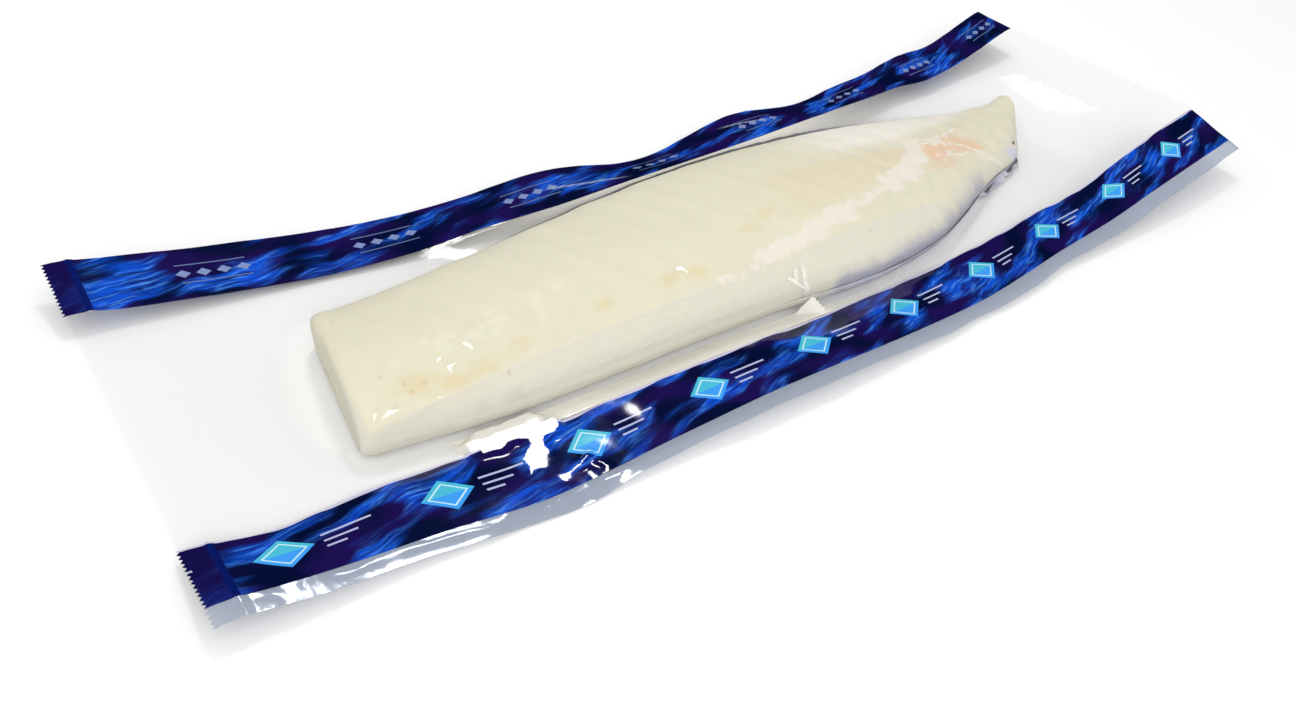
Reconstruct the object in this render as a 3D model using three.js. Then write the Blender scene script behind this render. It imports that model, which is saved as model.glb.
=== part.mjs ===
// A skin-on cod loin, vacuum packed in a long flat pouch of clear film with a dark blue printed band along each
// long side. The loin lies skin side down. Millimetres, +Z up, origin under the middle of the pouch.
import * as THREE from 'three';

// ---- Pouch --------------------------------------------------------------------------------------------------
const POUCH_LENGTH = 600; // along X
const BAND_WIDTH = 30.5; // printed stripe inside each long side
const MARGIN_WIDTH = 8; // clear film outside the near band
const CUT_SKEW = 4; // how much shorter the far side was cut at the tail end
const FILM = 0.6; // two layers of film, drawn thicker than the real 0.2
const TOOTH_PITCH = 3.5; // zigzag of the head end's cut edge, drawn coarser than the real one
const TOOTH_DEPTH = 1.2;
const SEAL_WIDTH = 10; // heat seal across the head end, with a raised inner edge
const SEAL_RIDGE = 0.8;
const SEAL_RIDGE_WIDTH = 2;
const SKEW_FROM = -90; // y where the skewed cut starts, and how far across it runs
const SKEW_ACROSS = 200;
const FOOT_FAR = 3; // how far under the loin's far side the film starts to rise
const FOOT_NEAR = 5; // how far outside its near side it does
const FOOT_CLEAR = 4; // least distance of that near foot from the near band
const LOIN_PAST = 5; // the film stays down this far past the loin's ends, then rises over LOIN_REACH
const LOIN_REACH = 34;

// Inner edge of each band seen from above: y at mid length, lean from end to end, and swing of both ends.
const FAR_INNER = { middle: 46.5, lean: 3.5, swing: 27.5 };
const NEAR_INNER = { middle: -70.5, lean: 0.5, swing: 14.5 };

// Height of the film above the table along each line of the pouch: [x, height].
const HEIGHTS = {
  farEdge: [
    [-300, 15], [-227, 8], [-165, 3.5], [-74, 9.5], [-18, 1.5], [45, 10], [104, 4.5], [190, 11], [235, 9], [300, 17],
  ],
  farInner: [[-300, 8], [-244, 4], [-185, 1.5], [-91, 8], [-40, 12], [28, 14], [100, 14], [215, 8.5], [300, 17.5]],
  nearInner: [
    [-300, 3.5], [-250, 0.5], [-185, 0.5], [-91, 3.5], [0, 0.7], [80, 1], [165, 4.5], [200, 12], [250, 21], [300, 25],
  ],
  nearOuter: [[-300, 9], [-250, 4], [-165, 1], [-60, 5], [62, 2.5], [165, 7], [215, 13.5], [300, 19]],
  nearEdge: [[-300, 8], [-250, 3.5], [-180, 0.5], [-74, 6], [80, 2], [181, 6], [220, 11], [300, 16]],
};

// ---- Loin ---------------------------------------------------------------------------------------------------
const GAP = 0.3; // clearance between neighbouring pieces
const SKIN = 0.6;
const END_ROUNDING = 5; // how far the loin's ends round over
const HEAD_DROP = 4; // how much lower and narrower each end face is
const TAIL_DROP = 1;
const FLAKE_PITCH = 18; // one muscle flake along the loin
const FLAKE_RELIEF = 0.5;
const FLAKE_SLANT = 0.5; // how far a flake leans back for each millimetre from the seam
const FLAKE_MEAN = 0.6; // a flake's mean height as a share of its relief
const SEAM_DEPTH = 1.2; // valley where the pin bones were cut out
const SEAM_WIDTH = 7;
const SEAM_FROM = -100; // x where the valley starts to sink in, over SEAM_FADE
const SEAM_FADE = 120;
const RELIEF_FROM = 0.5; // share of the height where the relief starts, over RELIEF_FADE
const RELIEF_FADE = 0.4;

// The widest outline of each side seen from above, head end first: [x, y].
const NEAR_SIDE = [
  [-231, -50.5], [-172, -58], [-54, -61.5], [20, -67.5], [68, -62.5], [98, -53.5], [138, -37.5],
  [178, -25.5], [190, -16.5], [228, 15.5],
];
const FAR_SIDE = [[-222, 20.5], [-143, 28], [-68, 37.5], [0, 42], [66, 39.5], [134, 31.5], [202, 24.5], [231, 29.5]];
// The back's height above the skin's underside: [x, height].
const BACK = [[-231, 23], [-150, 26.5], [-50, 29], [40, 28.5], [110, 23], [165, 15.5], [205, 11.5], [231, 9.5]];
// The seam: [x, y].
const SEAM = [[-231, -42.5], [-63, -44.5], [36, -37.5], [79, -28.5], [128, -16.5], [231, 21.5]];
// One slice as [share of the width from the near side, share of the height]: the skin from its far lip under
// to its near lip, then the flesh from the near lip over the back.
const SKIN_SLICE = [[1, 0.36], [0.99, 0.19], [0.965, 0.07], [0.93, 0], [0.08, 0], [0.02, 0.09], [0, 0.28]];
const BACK_SLICE = [
  [0, 0.28], [0.004, 0.43], [0.03, 0.58], [0.075, 0.71], [0.15, 0.82], [0.25, 0.91], [0.36, 0.97], [0.47, 1],
  [0.58, 0.985], [0.7, 0.935], [0.81, 0.85], [0.89, 0.745], [0.95, 0.62], [0.985, 0.5], [1, 0.36],
];

// ---- Resolution ---------------------------------------------------------------------------------------------
const FILM_ROWS = 60;
const BAND_COLUMNS = 3;
const WEB_SHARES = [0, 0.03, 0.06, 0.09, 0.13, 0.18, 0.27, 0.38, 0.5, 0.62, 0.73, 0.83, 0.92, 1];
const LOIN_SLICES = 73;
const ROUNDING_SLICES = 4;
const SKIN_POINTS = 11;
const BACK_POINTS = 22;
const SLICE_STRETCH = 3.6; // a slice's width over its height, for even spacing round it
const FLAT_SPACING = 0.25; // its flat underside takes this share of the points

// ---- Curves -------------------------------------------------------------------------------------------------
const clamp = (value, low, high) => Math.min(high, Math.max(low, value));
const lerp = (a, b, share) => a + (b - a) * share;
const smooth = (share) => share * share * (3 - 2 * share);
const bump = (distance) => Math.exp(-distance * distance);
const first = (list) => list[0];
const last = (list) => list[list.length - 1];
const evenShares = (steps) => Array.from({ length: steps + 1 }, (_, i) => i / steps);

// A smooth curve through points whose first entry is x, read at x for another entry.
function through(points, x, entry = 1) {
  const end = points.length - 1;
  const at = clamp(x, points[0][0], points[end][0]);
  let i = 0;
  while (i < end - 1 && at > points[i + 1][0]) i += 1;
  const slope = (k) => {
    const before = points[Math.max(k - 1, 0)];
    const after = points[Math.min(k + 1, end)];
    return (after[entry] - before[entry]) / (after[0] - before[0]);
  };
  const span = points[i + 1][0] - points[i][0];
  const t = (at - points[i][0]) / span;
  return lerp(points[i][entry], points[i + 1][entry], smooth(t))
    + t * (1 - t) * span * ((1 - t) * slope(i) - t * slope(i + 1));
}

// Points evenly spaced along an open outline of [across, height] pairs, with across stretched to its real scale.
function spaced(outline, steps) {
  const reach = [0];
  for (let i = 1; i < outline.length; i += 1) {
    const [before, after] = [outline[i - 1], outline[i]];
    const spacing = before[1] === after[1] ? FLAT_SPACING : 1;
    reach.push(reach[i - 1] + spacing * Math.hypot(SLICE_STRETCH * (after[0] - before[0]), after[1] - before[1]));
  }
  const curve = outline.map(([across, height], i) => [reach[i], across, height]);
  return evenShares(steps).map((share) => {
    const at = last(reach) * share;
    return [clamp(through(curve, at, 1), 0, 1), clamp(through(curve, at, 2), 0, 1)];
  });
}

// ---- Solids -------------------------------------------------------------------------------------------------
function closedMesh(points, indices) {
  const geometry = new THREE.BufferGeometry();
  geometry.setAttribute('position', new THREE.Float32BufferAttribute(points.flat(), 3));
  geometry.setIndex(indices);
  geometry.computeVertexNormals();
  return geometry;
}

// A sheet with thickness, from its lower and upper points in rows along +X and columns towards -Y.
function sheetSolid(lower, upper) {
  const rows = lower.length;
  const columns = lower[0].length;
  const indices = [];
  const at = (layer, i, j) => (layer * rows + i) * columns + j;
  const quad = (a, b, c, d) => indices.push(a, b, c, a, c, d);
  for (let i = 0; i < rows - 1; i += 1) {
    for (let j = 0; j < columns - 1; j += 1) {
      quad(at(1, i, j), at(1, i, j + 1), at(1, i + 1, j + 1), at(1, i + 1, j));
      quad(at(0, i, j), at(0, i + 1, j), at(0, i + 1, j + 1), at(0, i, j + 1));
    }
    const near = columns - 1;
    quad(at(0, i, 0), at(1, i, 0), at(1, i + 1, 0), at(0, i + 1, 0));
    quad(at(0, i, near), at(0, i + 1, near), at(1, i + 1, near), at(1, i, near));
  }
  for (let j = 0; j < columns - 1; j += 1) {
    const end = rows - 1;
    quad(at(0, 0, j), at(0, 0, j + 1), at(1, 0, j + 1), at(1, 0, j));
    quad(at(0, end, j), at(1, end, j), at(1, end, j + 1), at(0, end, j + 1));
  }
  return closedMesh([...lower.flat(), ...upper.flat()], indices);
}

// ---- Film pouch ---------------------------------------------------------------------------------------------
function innerEdge(edge, heights, x) {
  const along = 2 * x / POUCH_LENGTH;
  return [edge.middle + edge.lean * along + edge.swing * along ** 2, Math.max(through(heights, x), 0)];
}

// The far edge of a strip that starts at one line of the pouch and keeps its width as it rises or falls.
function stripEdge([y, z], width, heights, x, side) {
  const height = Math.max(through(heights, x), 0);
  return [y + side * Math.sqrt(width ** 2 - (height - z) ** 2), height];
}

// The clear web between the bands: it lies on the table under the loin and rises to each band.
function webHeight(x, y, [farY, farZ], [nearY, nearZ]) {
  const footFar = through(FAR_SIDE, x) - FOOT_FAR;
  const footNear = Math.max(through(NEAR_SIDE, x) - FOOT_NEAR, nearY + FOOT_CLEAR);
  const farRise = clamp((y - footFar) / (farY - footFar), 0, 1) ** 2;
  const nearRise = clamp((footNear - y) / (footNear - nearY), 0, 1) ** 2;
  const beside = farZ * farRise + nearZ * nearRise;
  const open = lerp(farZ, nearZ, (farY - y) / (farY - nearY));
  const beyond = Math.max(first(NEAR_SIDE)[0] - x, x - last(FAR_SIDE)[0]) - LOIN_PAST;
  return lerp(beside, open, smooth(clamp(beyond / LOIN_REACH, 0, 1)));
}

const zigzag = (y) => TOOTH_DEPTH * Math.abs(2 * ((((y / TOOTH_PITCH) % 1) + 1) % 1) - 1);

// One row of the pouch's underside, from its far edge to its near edge.
function filmRow(along) {
  const x = lerp(-POUCH_LENGTH / 2, POUCH_LENGTH / 2, along);
  const farInner = innerEdge(FAR_INNER, HEIGHTS.farInner, x);
  const nearInner = innerEdge(NEAR_INNER, HEIGHTS.nearInner, x);
  const farEdge = stripEdge(farInner, BAND_WIDTH, HEIGHTS.farEdge, x, 1);
  const nearOuter = stripEdge(nearInner, BAND_WIDTH, HEIGHTS.nearOuter, x, -1);
  const nearEdge = stripEdge(nearOuter, MARGIN_WIDTH, HEIGHTS.nearEdge, x, -1);
  const straight = (from, to) => (share) => [lerp(from[0], to[0], share), lerp(from[1], to[1], share)];
  const web = (share) => {
    const y = lerp(farInner[0], nearInner[0], share);
    return [y, webHeight(x, y, farInner, nearInner)];
  };
  const band = evenShares(BAND_COLUMNS);
  const section = [
    ...band.slice(0, -1).map(straight(farEdge, farInner)),
    ...WEB_SHARES.slice(0, -1).map(web),
    ...band.slice(0, -1).map(straight(nearInner, nearOuter)),
    nearOuter,
    nearEdge,
  ];
  const ridge = SEAL_RIDGE * bump((x + POUCH_LENGTH / 2 - SEAL_WIDTH) / SEAL_RIDGE_WIDTH);
  return section.map(([y, z]) => {
    const skew = CUT_SKEW * clamp((y - SKEW_FROM) / SKEW_ACROSS, 0, 1) * along;
    return [x - skew + (along === 0 ? zigzag(y) : 0), y, z + ridge];
  });
}

function pouchGeometry() {
  const lower = evenShares(FILM_ROWS).map(filmRow);
  const upper = lower.map((row) => row.map(([x, y, z]) => [x, y, z + FILM]));
  return sheetSolid(lower, upper);
}

// ---- Flesh and skin -----------------------------------------------------------------------------------------
// Shallow chevrons of muscle flakes that point towards the head end, and the valley of the seam.
function fleshRelief(x, y) {
  const fromSeam = y - through(SEAM, x);
  const phase = (x + FLAKE_SLANT * Math.abs(fromSeam)) / FLAKE_PITCH;
  const flake = FLAKE_RELIEF * (Math.abs(Math.sin(Math.PI * phase)) - FLAKE_MEAN);
  return flake - SEAM_DEPTH * bump(fromSeam / SEAM_WIDTH) * smooth(clamp((x - SEAM_FROM) / SEAM_FADE, 0, 1));
}

const OUTLINE = [...spaced(SKIN_SLICE, SKIN_POINTS - 1), ...spaced(BACK_SLICE, BACK_POINTS + 1).slice(1, -1)];

// One slice at a share of the loin's length, drawn in by inset where an end rounds over.
function loinSlice(share, inset) {
  const nearX = lerp(first(NEAR_SIDE)[0], last(NEAR_SIDE)[0], share);
  const farX = lerp(first(FAR_SIDE)[0], last(FAR_SIDE)[0], share);
  const nearY = through(NEAR_SIDE, nearX) + inset;
  const farY = through(FAR_SIDE, farX) - inset;
  return OUTLINE.map(([across, height]) => {
    const x = lerp(nearX, farX, across);
    const y = lerp(nearY, farY, across);
    const onBack = smooth(clamp((height - RELIEF_FROM) / RELIEF_FADE, 0, 1));
    return [x, y, FILM + GAP + (through(BACK, x) - inset) * height + fleshRelief(x, y) * onBack];
  });
}

// The points of a slice that carry the skin, moved into the slice by depth.
function under(slice, depth) {
  return slice.slice(0, SKIN_POINTS).map(([x, y, z], k) => {
    const before = slice[(k + slice.length - 1) % slice.length];
    const after = slice[k + 1];
    const length = Math.hypot(after[1] - before[1], after[2] - before[2]);
    return [x, y + depth * (after[2] - before[2]) / length, z - depth * (after[1] - before[1]) / length];
  });
}

function loinSlices() {
  const roundShare = END_ROUNDING / (last(FAR_SIDE)[0] - first(NEAR_SIDE)[0]);
  const rounding = evenShares(ROUNDING_SLICES).slice(1).map((share) => {
    const turn = Math.PI / 2 * share;
    return { from: roundShare * (1 - Math.sin(turn)), drop: 1 - Math.cos(turn) };
  });
  return [
    ...rounding.map(({ from, drop }) => loinSlice(from, HEAD_DROP * drop)).reverse(),
    ...evenShares(LOIN_SLICES).map((share) => loinSlice(lerp(roundShare, 1 - roundShare, share), 0)),
    ...rounding.map(({ from, drop }) => loinSlice(1 - from, TAIL_DROP * drop)),
  ];
}

function skinGeometry(slices) {
  return sheetSolid(slices.map((slice) => under(slice, 0)), slices.map((slice) => under(slice, SKIN)));
}

function fleshGeometry(slices) {
  const rings = slices.map((slice) => [...under(slice, SKIN + GAP), ...slice.slice(SKIN_POINTS)]);
  const size = OUTLINE.length;
  const points = rings.flat();
  const indices = [];
  for (let i = 0; i < rings.length - 1; i += 1) {
    for (let j = 0; j < size; j += 1) {
      const [a, b] = [i * size + j, i * size + (j + 1) % size];
      indices.push(a, b + size, b, a, a + size, b + size);
    }
  }
  for (const end of [0, rings.length - 1]) {
    const centre = points.length;
    points.push([0, 1, 2].map((axis) => rings[end].reduce((sum, point) => sum + point[axis], 0) / size));
    for (let j = 0; j < size; j += 1) {
      const [a, b] = [end * size + j, end * size + (j + 1) % size];
      indices.push(...(end === 0 ? [centre, a, b] : [centre, b, a]));
    }
  }
  return closedMesh(points, indices);
}

// ---- Assembly -----------------------------------------------------------------------------------------------
const part = new THREE.Group();

function add(name, geometry, color, roughness, extra = {}) {
  const material = new THREE.MeshStandardMaterial({ color, roughness, metalness: 0, ...extra });
  const mesh = new THREE.Mesh(geometry, material);
  mesh.name = name;
  part.add(mesh);
}

const slices = loinSlices();
add('cod_loin', fleshGeometry(slices), 0xe6e1cb, 0.45);
add('fish_skin', skinGeometry(slices), 0x8d90a3, 0.35);
add('film_pouch', pouchGeometry(), 0xc9cde0, 0.12, { transparent: true, opacity: 0.45 });

export default part;
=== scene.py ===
"""A skin-on cod loin, vacuum packed in a long flat pouch of clear film with a dark blue printed band along
each long side. It lies skin side down on a pale table, seen from above its cut head end."""
import math

import bmesh
import bpy
import numpy as np
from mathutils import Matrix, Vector
from mathutils.bvhtree import BVHTree


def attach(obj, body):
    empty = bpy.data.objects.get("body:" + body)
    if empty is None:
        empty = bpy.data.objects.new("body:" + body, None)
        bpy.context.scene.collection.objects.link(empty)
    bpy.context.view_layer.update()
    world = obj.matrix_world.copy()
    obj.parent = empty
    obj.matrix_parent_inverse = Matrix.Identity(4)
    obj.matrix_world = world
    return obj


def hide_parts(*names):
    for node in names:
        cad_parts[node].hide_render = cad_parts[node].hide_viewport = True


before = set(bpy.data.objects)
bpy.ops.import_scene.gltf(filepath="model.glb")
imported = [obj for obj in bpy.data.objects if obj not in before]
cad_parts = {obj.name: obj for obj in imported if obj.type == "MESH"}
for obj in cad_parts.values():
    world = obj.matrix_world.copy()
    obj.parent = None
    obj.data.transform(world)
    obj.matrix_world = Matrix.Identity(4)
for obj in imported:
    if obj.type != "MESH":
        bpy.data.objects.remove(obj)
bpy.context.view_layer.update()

MM = 0.001
SHARP_EDGE = math.radians(60)  # faces that meet at a wider angle than this aren't shaded as one

# ---- Pouch, in millimetres -------------------------------------------------------------------------------
HALF_LENGTH = 300.0
ROW_COUNT = 501  # rows of points from the head end to the tail end
BAND_WIDTH = 30.5
BAND_THICKNESS = 0.15
BAND_SAMPLES = (2.0, 26.0)  # distances across a band at which its height is read
MARGIN_WIDTH = 8.0
MARGIN_THICKNESS = 0.25
MARGIN_SAMPLES = (1.5, 6.5)
CUT_SKEW = 4.0  # how much shorter the far side was cut at the tail end
SKEW_FROM, SKEW_ACROSS = -90.0, 200.0  # the y where the skew starts, and the width that it grows over
SEAL_AT = -290.0  # raised inner edge of the head end's heat seal
SEAL_RIDGE, SEAL_RIDGE_WIDTH = 0.8, 1.5
TOOTH_DEPTH = 1.1  # zigzag of the head end's cut edge
FILM_GAP = 0.25  # between the two layers of film where they lie together
FILM_GLOSS = 0.035  # share of light that a layer throws back, seen square on
# Inner edge of each band seen from above: y at mid length, lean from end to end, and swing of both ends.
FAR_INNER = (46.5, 3.5, 27.5)
NEAR_INNER = (-70.5, 0.5, 14.5)
# How far each edge of the bands strays from that where the film buckles: [x, y].
FAR_INNER_STRAY = [
    (-300, 0), (-150, -0.5), (-128, 1.5), (-100, 0), (-12, -1.5), (100, 0), (170, 4), (195, 0), (300, 1),
]
FAR_OUTER_STRAY = [
    (-300, -2), (-170, -1.5), (-120, -4), (-85, -2), (-35, -4), (20, -2), (60, 0.5), (110, -3.5), (130, -1),
    (160, -5), (210, -1), (232, -3), (300, -1),
]
NEAR_INNER_STRAY = [
    (-300, 0), (-272, -4.5), (-235, 0.5), (-150, -1.2), (100, -0.5), (140, 1.6), (190, -1.5), (300, 0),
]
NEAR_OUTER_STRAY = [
    (-300, 0), (-220, 0), (-185, -3), (-130, 0), (-80, 0.4), (-15, -1.5), (60, -1.8), (125, 2), (300, 1),
]
STRAY_REACH = 8  # rows each way that these are softened over
# Creases of the far band: both ends, [x, y], and the height.
FAR_CREASES = [((-88, 62), (-38, 50), 0.35), ((30, 68), (66, 62), 0.35)]
PRINT_SLANT = math.radians(14)  # how the streaks of the print lie to the band
PRINT_MIDDLE = 15.0  # how far across a band its motifs have their middle

# ---- Loin, in millimetres --------------------------------------------------------------------------------
# The seam where the pin bones were cut out, and the ridge where the far side starts to fall: [x, y].
SEAM = [(-231, -42.5), (-63, -44.5), (36, -37.5), (79, -28.5), (128, -16.5), (231, 21.5)]
RIDGE = [(-60, 4), (-23, 1), (12, 1), (58, -4), (98, -6), (140, 2), (231, 26)]
# Connective tissue, whiter than the flesh, along the seam and round the blush: a line of [x, y], half its
# width and how white it is.
TISSUE = [
    ([(-66, -50), (-36, -46)], 2.4, 0.6),
    ([(-42, -46), (-20, -44), (4, -41), (24, -38)], 6.2, 1.05),
    ([(24, -38), (46, -35), (62, -31)], 2.6, 0.8),
    ([(60, -31), (80, -25), (97, -15), (98, -8)], 7.0, 1.05),
    ([(94, -8), (118, -6), (146, -1)], 2.1, 0.9),
    ([(106, -11), (122, -9), (134, -14), (152, -27)], 1.7, 0.85),
    ([(112, -18), (134, -22), (156, -31)], 1.7, 0.85),
]
# Blotches of the flesh, specks on it, and dark spots with their reach: [x, y].
BLOTCHES = [
    (-210, -40), (-202, -43), (-190.5, -46), (-177, -44.5), (-161, -43), (-121, -40), (-89, -40), (-73, -41),
    (-34, -30), (-20, -24),
]
SPECKS = [
    (-218, 4), (-216, -33), (-209.5, -39), (-208.5, -43), (-202.5, -42), (-172, -51), (-60, -20), (22, -54),
]
DARK_SPOTS = [(179, -19.6, 1.3), (181.5, -18.2, 1.0), (184.5, -23.5, 1.4)]
FLAKE_PITCH = 15.0
SHOULDER = -49.0  # y of the edge between the top and the near flank, over the head half
HEAD_CORNER = (-222, 15, 15)  # the far corner of the head end, which stands out sharp
CORNER_PULL = (-0.2, 2.2, 0.6)
SKIN_EDGE = [(130, -40.2), (137, -37.9), (155, -32.5), (168, -29.1), (180, -24.5), (187, -19.0)]  # [x, y]
SKIN_THICKNESS = 0.5
FLESH_VOXEL = 1.25

# ---- Film over the loin, in millimetres ------------------------------------------------------------------
# Flat places of the film in which the lamp shows: lines of [x, y], half their width, their middle, its height
# (or None for the film's own), and how the film rises there along x and along y.
FLATS = [
    (
        [
            [(-194, -63), (-184, -61), (-172, -59), (-166, -64)],
            [(-189, -68), (-180, -67), (-168, -67), (-162, -70)],
            [(-169, -64), (-172, -73), (-179, -84)],
        ],
        5.0, (-176, -73), 1.9, (0.048, 0.064),
    ),
    ([[(-158, -88), (-167, -91), (-174, -93)]], 2.0, (-166, -91), 1.9, (0.072, 0.034)),
    (
        [[(-158, -92), (-156, -96), (-160, -101), (-164, -100), (-162, -95)]],
        1.6, (-160, -97), 1.9, (0.08, 0.024),
    ),
    ([[(-222, -48.5), (-215, -45.5)]], 1.3, (-218, -46.5), None, (-0.042, 0.132)),
    ([[(-226, -47.5), (-221.5, -44)]], 1.0, (-223.6, -46), None, (-0.053, 0.134)),
    (
        [[(-192, -40), (-189, -39.5)], [(-191, -40), (-192.3, -42.6)]],
        1.0, (-191, -40.7), None, (0.012, 0.133),
    ),
    ([[(-181.3, -34), (-179.7, -37.4)]], 0.9, (-180.5, -35.6), None, (0.03, 0.137)),
    ([[(-194.3, -36.5), (-193.2, -36)]], 1.0, (-193.7, -36.3), None, (0.004, 0.141)),
    ([[(-201, -49.3), (-198.6, -48.6)]], 0.8, (-199.9, -49), None, (-0.004, 0.121)),
    ([[(-84, -39), (-82, -36.8), (-79, -38), (-79.5, -41.5)]], 1.0, (-82, -39), None, (0.216, 0.084)),
    ([[(99, 27), (104, 28.6)]], 1.1, (102, 28), None, (0.468, 0.09)),
    ([[(110, 26), (114, 26.5)]], 1.0, (112, 26), None, (0.485, 0.08)),
    ([[(126, 26), (130, 26.5)]], 1.0, (128, 26), None, (0.503, 0.076)),
]
FLAT_BEND = 0.0009  # how the flat places curve: rise for each square millimetre
FILM_COLUMNS = 141
FOOT_SHARE = 0.8  # the share of the columns that lie between the far band and the loin's near foot
DRAPE_ROUNDS = 900
# The pleat from the near flank down to the band: both ends [x, y], its height at the first, how far it falls
# to the other, and how steep its sides are. Over it the film's fold has a painted highlight, white along
# lines of [x, z].
PLEAT = ((-24.5, -61.5), (-15.5, -70.5))
PLEAT_TOP, PLEAT_FALL, PLEAT_SIDES = 13.5, 10.5, 2.4
FOLD_GLINT_LEGS = [
    [(-34, 19.8), (-24.5, 13)], [(-31, 18), (-29, 21)], [(-24.5, 21.5), (-26.5, 17.5), (-23.5, 12.5)],
]
FOLD_GLINT_WIDTH = 0.75


# ---- Small sums ------------------------------------------------------------------------------------------
def bump(distance):
    """1 at no distance, falling smoothly to nearly 0 at a distance of 2."""
    return np.exp(-distance * distance)


def smooth(share):
    """0 below a share of 0, 1 above a share of 1, and an even rise between them."""
    share = np.clip(share, 0, 1)
    return share * share * (3 - 2 * share)


def along_line(line, x):
    """The y of a line of (x, y) points at x."""
    xs, ys = zip(*line)
    return np.interp(x, xs, ys)


def edge_y(edge, stray, x):
    """The y of a band's edge at each x."""
    middle, lean, swing = edge
    bowed = middle + lean * x / HALF_LENGTH + swing * (x / HALF_LENGTH) ** 2
    return bowed + softened(along_line(stray, x), STRAY_REACH)


def noise(a, b, seed):
    """Smooth noise from 0 to 1 over the plane of a and b, one cell a unit."""
    table = np.random.default_rng(seed).random((64, 64))
    i, j = np.floor(a).astype(int), np.floor(b).astype(int)
    u, v = smooth(a - i), smooth(b - j)

    def at(row, column):
        return table[row % 64, column % 64]

    start = at(i, j) * (1 - u) + at(i + 1, j) * u
    stop = at(i, j + 1) * (1 - u) + at(i + 1, j + 1) * u
    return start * (1 - v) + stop * v


def creased(a, b, seed):
    """Noise from 0 to 1 with sharp crests, as film has where it wrinkles."""
    return (1 - np.abs(2 * noise(a, b, seed) - 1)) ** 3


def softened(values, reach):
    """Values along the rows of a grid, averaged over a reach of rows each way."""
    steps = np.arange(-2 * reach, 2 * reach + 1)
    weights = bump(steps / reach)
    weights /= weights.sum()
    padded = np.concatenate([values[:1]] * (2 * reach) + [values] + [values[-1:]] * (2 * reach))
    return sum(w * padded[k : k + len(values)] for k, w in enumerate(weights))


def off_segment(x, y, start, stop):
    """Distance of x, y from a segment, and how far along it they lie, from 0 to 1."""
    run, rise = stop[0] - start[0], stop[1] - start[1]
    share = np.clip(((x - start[0]) * run + (y - start[1]) * rise) / (run * run + rise * rise), 0, 1)
    return np.hypot(x - start[0] - share * run, y - start[1] - share * rise), share


def stroke(x, y, line, width, weight):
    """The weight along a given line of (x, y) points, falling to 0 over its width."""
    value = np.zeros_like(x)
    for start, stop in zip(line, line[1:]):
        distance, _ = off_segment(x, y, start, stop)
        value = np.maximum(value, bump(distance / width))
    return value * weight


# ---- Meshes ----------------------------------------------------------------------------------------------
def tree_of(mesh):
    """A mesh made ready for rays."""
    return BVHTree.FromPolygons([v.co for v in mesh.vertices], [p.vertices for p in mesh.polygons])


def height_over(tree, x, y, missing, from_below=False):
    """Height in millimetres of a mesh's top or underside at each x, y. Beside the mesh it is the missing
    height, or with None the height of the nearest point."""
    start, way = (-1.0, 1.0) if from_below else (1.0, -1.0)
    heights = np.full(x.size, np.nan)
    for k, (px, py) in enumerate(zip(x.ravel() * MM, y.ravel() * MM)):
        hit = tree.ray_cast(Vector((px, py, start)), Vector((0, 0, way)))[0]
        if hit is None and missing is None:
            hit = tree.find_nearest(Vector((px, py, 0)))[0]
        heights[k] = missing if hit is None else hit.z / MM
    return heights.reshape(x.shape)


def show(name, mesh, material, slot, *nodes):
    """Puts a mesh in the scene as a piece of the pack that stands for CAD nodes."""
    piece = bpy.data.objects.new(name, mesh)
    bpy.context.scene.collection.objects.link(piece)
    mesh.materials.clear()
    mesh.materials.append(material)
    mesh.shade_smooth()
    mesh.set_sharp_from_angle(angle=SHARP_EDGE)
    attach(piece, "root")
    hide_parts(*nodes)
    return piece


def sheet(name, points, thickness=0.0, fields=None):
    """A mesh through a grid of points in millimetres, rows along +X and columns towards -Y."""
    rows, columns = points.shape[:2]
    at = np.arange(rows * columns).reshape(rows, columns)
    top = np.stack([at[:-1, :-1], at[:-1, 1:], at[1:, 1:], at[1:, :-1]], axis=-1).reshape(-1, 4)
    places, quads = points.reshape(-1, 3), [top]
    if thickness:
        under = rows * columns
        round_it = np.concatenate([at[0, :-1], at[:-1, -1], at[-1, :0:-1], at[:0:-1, 0]])
        following = np.roll(round_it, -1)
        quads.append(top[:, ::-1] + under)
        quads.append(np.stack([following, round_it, round_it + under, following + under], axis=-1))
        places = np.concatenate([places, (points - thickness * normals(points)).reshape(-1, 3)])
    mesh = bpy.data.meshes.new(name)
    mesh.from_pydata((places * MM).tolist(), [], np.concatenate(quads).tolist())
    for field, values in (fields or {}).items():
        flat = values.reshape(rows * columns, -1)
        flat = np.concatenate([flat] * (len(places) // len(flat)))
        add_field(mesh, field, flat)
    return mesh


def add_field(mesh, field, values):
    """Keeps one number or three for each point, for the material to read."""
    several = values.ndim == 2 and values.shape[1] == 3
    kept = mesh.attributes.new(field, "FLOAT_VECTOR" if several else "FLOAT", "POINT")
    kept.data.foreach_set("vector" if several else "value", np.ascontiguousarray(values, np.float32).ravel())


def normals(points):
    """Upward normals of a grid of points."""
    across = np.cross(np.gradient(points, axis=1), np.gradient(points, axis=0))
    return across / np.linalg.norm(across, axis=-1, keepdims=True)


def cut_to_length(points):
    """Skews the tail end's cut and cuts the teeth of the head end into a sheet."""
    x, y = points[..., 0], points[..., 1]
    share = (x + HALF_LENGTH) / (2 * HALF_LENGTH)
    skewed = points.copy()
    skewed[..., 0] = x - CUT_SKEW * np.clip((y - SKEW_FROM) / SKEW_ACROSS, 0, 1) * share
    skewed[0, 1::2, 0] += TOOTH_DEPTH
    return skewed


# ---- Nodes -----------------------------------------------------------------------------------------------
def linear(code):
    """A sRGB hex colour as linear red, green, blue and alpha."""
    parts = [int(code[k : k + 2], 16) / 255 for k in (1, 3, 5)]
    return [c / 12.92 if c <= 0.04045 else ((c + 0.055) / 1.055) ** 2.4 for c in parts] + [1.0]


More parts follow.
